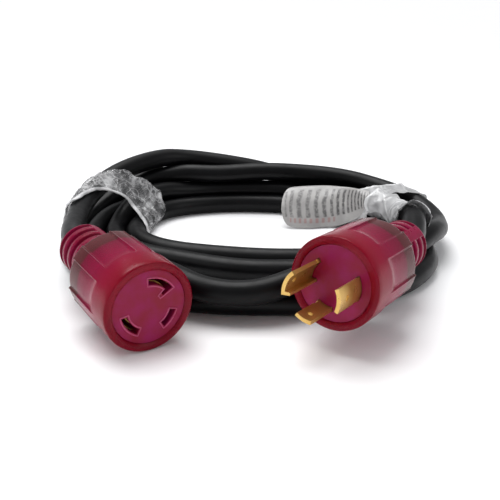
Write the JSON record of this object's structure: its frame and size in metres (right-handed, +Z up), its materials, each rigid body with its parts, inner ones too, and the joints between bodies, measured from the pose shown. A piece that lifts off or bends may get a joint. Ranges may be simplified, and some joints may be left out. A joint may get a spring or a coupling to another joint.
{
  "type": "shore power cord",
  "caption": "Round three-core power cable in a loose coil, with a translucent moulded locking connector and a matching locking plug at its ends.",
  "frame": {"origin": "middle of the whole coiled cord's outline, on the surface that it lies on", "axes": "+Z up; both moulded ends look towards -Y, the connector on the -X side and the plug on the +X side"},
  "size_m": [0.284, 0.3103, 0.0631],
  "materials": {
    "clear_tint_vinyl": "clear raspberry-tinted moulded vinyl, satin gloss",
    "inner_vinyl": "saturated raspberry moulded vinyl under the clear sleeve",
    "face_vinyl": "translucent raspberry face insert",
    "cable_jacket": "black vinyl jacket, fine satin",
    "brass": "stamped brass",
    "copper": "bare stranded copper",
    "ground_insulation": "green insulation",
    "hot_insulation": "black insulation",
    "neutral_insulation": "white insulation",
    "lamp_lens": "small clear power-on lamp",
    "resistor_body": "tan lacquer",
    "clear_film": "crumpled clear stretch film",
    "laminated_paper": "light grey laminated care tag"
  },
  "bodies": {
    "root": {"connector_sleeve": "clear_tint_vinyl", "connector_strain_relief": "inner_vinyl", "connector_cable_end": "cable_jacket", "connector_ground_crimp_barrel": "brass", "connector_ground_copper_end": "copper", "connector_ground_conductor": "ground_insulation", "connector_hot_crimp_barrel": "brass", "connector_hot_copper_end": "copper", "connector_hot_conductor": "hot_insulation", "connector_neutral_crimp_barrel": "brass", "connector_neutral_copper_end": "copper", "connector_neutral_conductor": "neutral_insulation", "connector_face": "face_vinyl", "connector_ground_contact": "brass", "connector_hot_contact": "brass", "connector_neutral_contact": "brass", "connector_lamp": "lamp_lens", "connector_lamp_resistor": "resistor_body", "plug_sleeve": "clear_tint_vinyl", "plug_strain_relief": "inner_vinyl", "plug_cable_end": "cable_jacket", "plug_ground_crimp_barrel": "brass", "plug_ground_copper_end": "copper", "plug_ground_conductor": "ground_insulation", "plug_hot_crimp_barrel": "brass", "plug_hot_copper_end": "copper", "plug_hot_conductor": "hot_insulation", "plug_neutral_crimp_barrel": "brass", "plug_neutral_copper_end": "copper", "plug_neutral_conductor": "neutral_insulation", "plug_face": "face_vinyl", "plug_ground_blade": "brass", "plug_hot_blade": "brass", "plug_neutral_blade": "brass", "connector_lead": "cable_jacket", "plug_lead": "cable_jacket", "cable_coil": "cable_jacket", "left_film_wrap": "clear_film", "right_film_wrap": "clear_film", "care_tag": "laminated_paper"}
  },
  "joints": []
}
